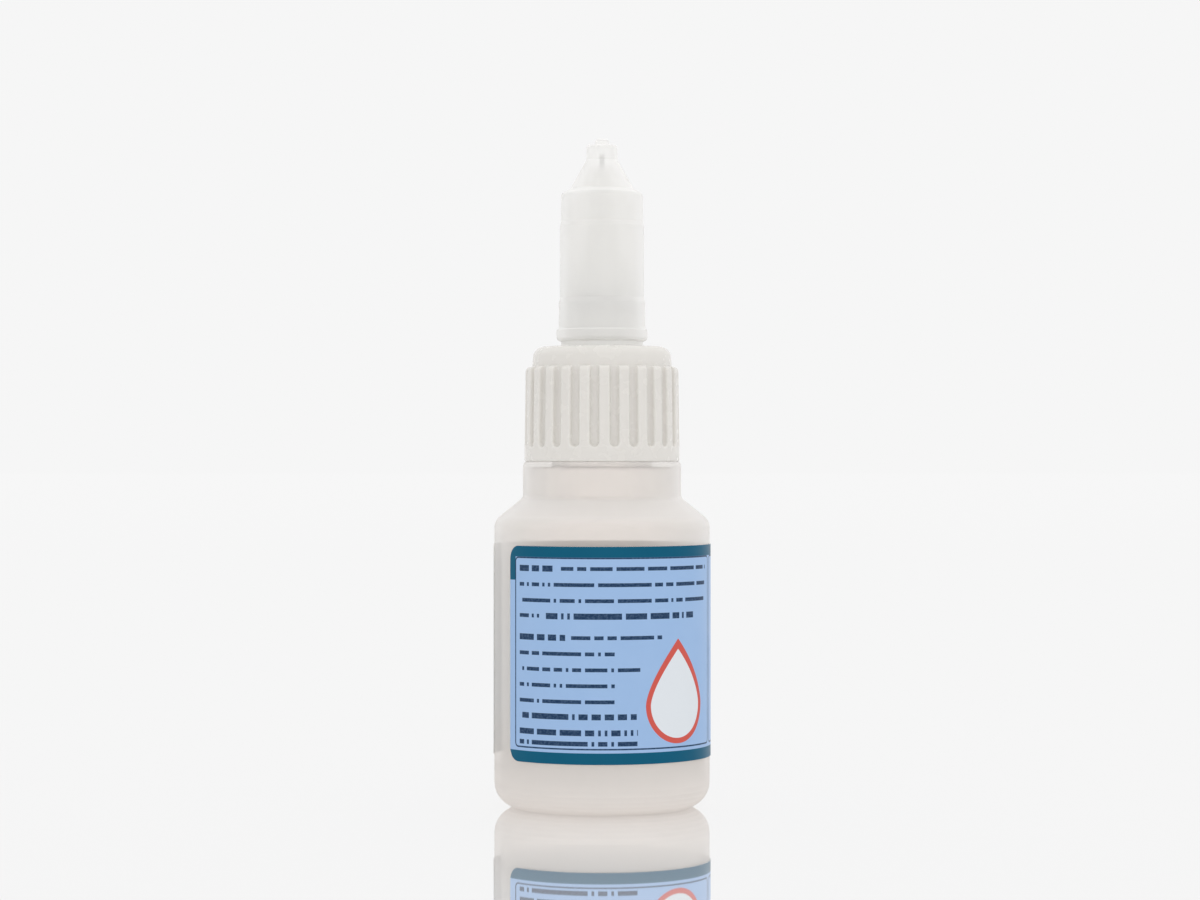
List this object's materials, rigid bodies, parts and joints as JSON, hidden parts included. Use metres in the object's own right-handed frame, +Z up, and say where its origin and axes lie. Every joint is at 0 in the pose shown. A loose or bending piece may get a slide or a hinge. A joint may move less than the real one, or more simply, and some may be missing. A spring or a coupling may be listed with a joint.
{
  "type": "instant glue bottle with nozzle and screw closure",
  "caption": "Small squeeze bottle for instant glue with a wrap label, a screwed fluted collar that clamps a slim nozzle, and a long cap with a clearing pin.",
  "frame": {"origin": "centre of the base, on the surface that the bottle stands on", "axes": "+Z up along the bottle's axis, -Y out of the pictured face of the label, +X to that face's right"},
  "size_m": [0.0292, 0.0292, 0.0899],
  "materials": {
    "bottle_plastic": "satin",
    "glue_liquid": "gloss",
    "label_film": "satin",
    "nozzle_plastic": "satin",
    "collar_plastic": "satin",
    "cap_plastic": "satin",
    "pin_steel": "polished"
  },
  "bodies": {
    "bottle": {"bottle": "bottle_plastic", "glue": "glue_liquid", "label": "label_film"},
    "nozzle": {"nozzle": "nozzle_plastic"},
    "collar": {"collar": "collar_plastic"},
    "cap": {"cap": "cap_plastic", "clearing_pin": "pin_steel"}
  },
  "joints": [
    {"name": "closure_lift", "type": "slide", "parent": "bottle", "child": "nozzle", "axis": [0, 0, 1], "range_m": [0, 0.0076]},
    {"name": "collar_turn", "type": "hinge", "parent": "nozzle", "child": "collar", "pos_m": [0, 0, 0.0545], "axis": [0, 0, 1], "range_deg": [0, 900]},
    {"name": "cap_lift", "type": "slide", "parent": "nozzle", "child": "cap", "axis": [0, 0, 1], "range_m": [0, 0.027]}
  ],
  "couplings": [
    {"joint": "closure_lift", "follows": "collar_turn", "m_per_rad": 0.00047746}
  ]
}
